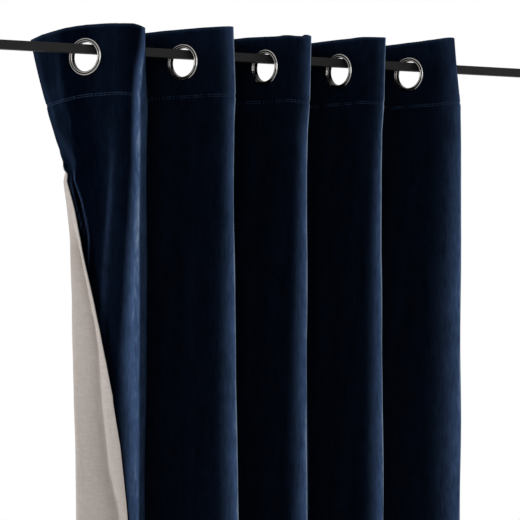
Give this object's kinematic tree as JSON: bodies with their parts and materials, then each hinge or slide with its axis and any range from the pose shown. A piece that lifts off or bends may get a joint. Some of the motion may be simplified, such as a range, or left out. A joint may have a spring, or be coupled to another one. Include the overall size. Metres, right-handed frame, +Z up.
{
  "type": "lined velvet eyelet curtain on a square rod",
  "caption": "Velvet curtain hanging in deep folds from metal eyelets on a square rod, its leading edge turned over to show a plain pale lining.",
  "frame": {"origin": "on the rod's flat underside, halfway along it", "axes": "+X along the rod, away from the leading side of the curtain; +Z up; the velvet's face looks towards -Y"},
  "size_m": [1, 0.1789, 1.3862],
  "materials": {
    "velvet": "navy cotton velvet pile",
    "lining": "plain weave, beige",
    "ring_metal": "polished nickel",
    "rod_metal": "matte black"
  },
  "bodies": {
    "root": {"rod": "rod_metal", "heading": "velvet", "velvet_panel": "velvet", "lining": "lining", "eyelet_01": "ring_metal", "eyelet_02": "ring_metal", "eyelet_03": "ring_metal", "eyelet_04": "ring_metal", "eyelet_05": "ring_metal", "eyelet_06": "ring_metal", "eyelet_07": "ring_metal", "eyelet_08": "ring_metal", "eyelet_09": "ring_metal", "eyelet_10": "ring_metal"}
  },
  "joints": []
}
